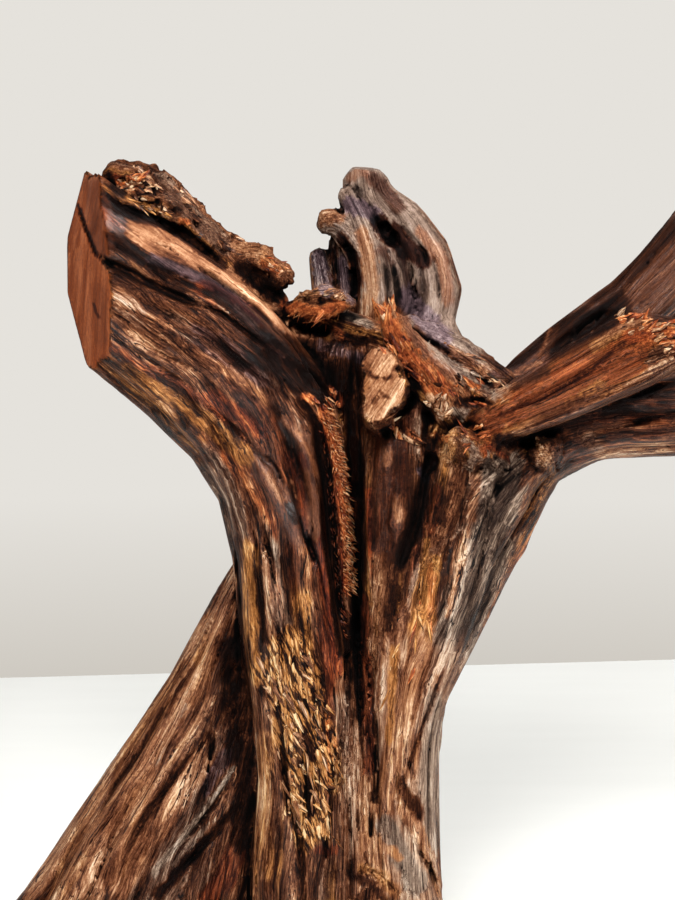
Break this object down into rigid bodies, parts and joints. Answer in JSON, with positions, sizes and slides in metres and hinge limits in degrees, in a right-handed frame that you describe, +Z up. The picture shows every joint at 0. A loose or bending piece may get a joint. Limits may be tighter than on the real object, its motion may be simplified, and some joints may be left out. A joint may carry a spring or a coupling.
{
  "type": "driftwood horse head sculpture",
  "caption": "Weathered, varnished root shaped like a raised horse head: sawn muzzle limb, ear blade, side limbs and a waisted trunk on a flat-cut root foot.",
  "frame": {"origin": "on the flat-cut underside of the foot, below the middle of the trunk", "axes": "+Z up; +X to the viewer's right, away from the sawn muzzle; -Y towards the viewer, the face the picture shows"},
  "size_m": [0.4024, 0.1743, 0.4162],
  "materials": {
    "wood": "weathered root wood, oiled and varnished to a patchy satin gloss"
  },
  "bodies": {
    "root": {"driftwood": "wood"}
  },
  "joints": []
}
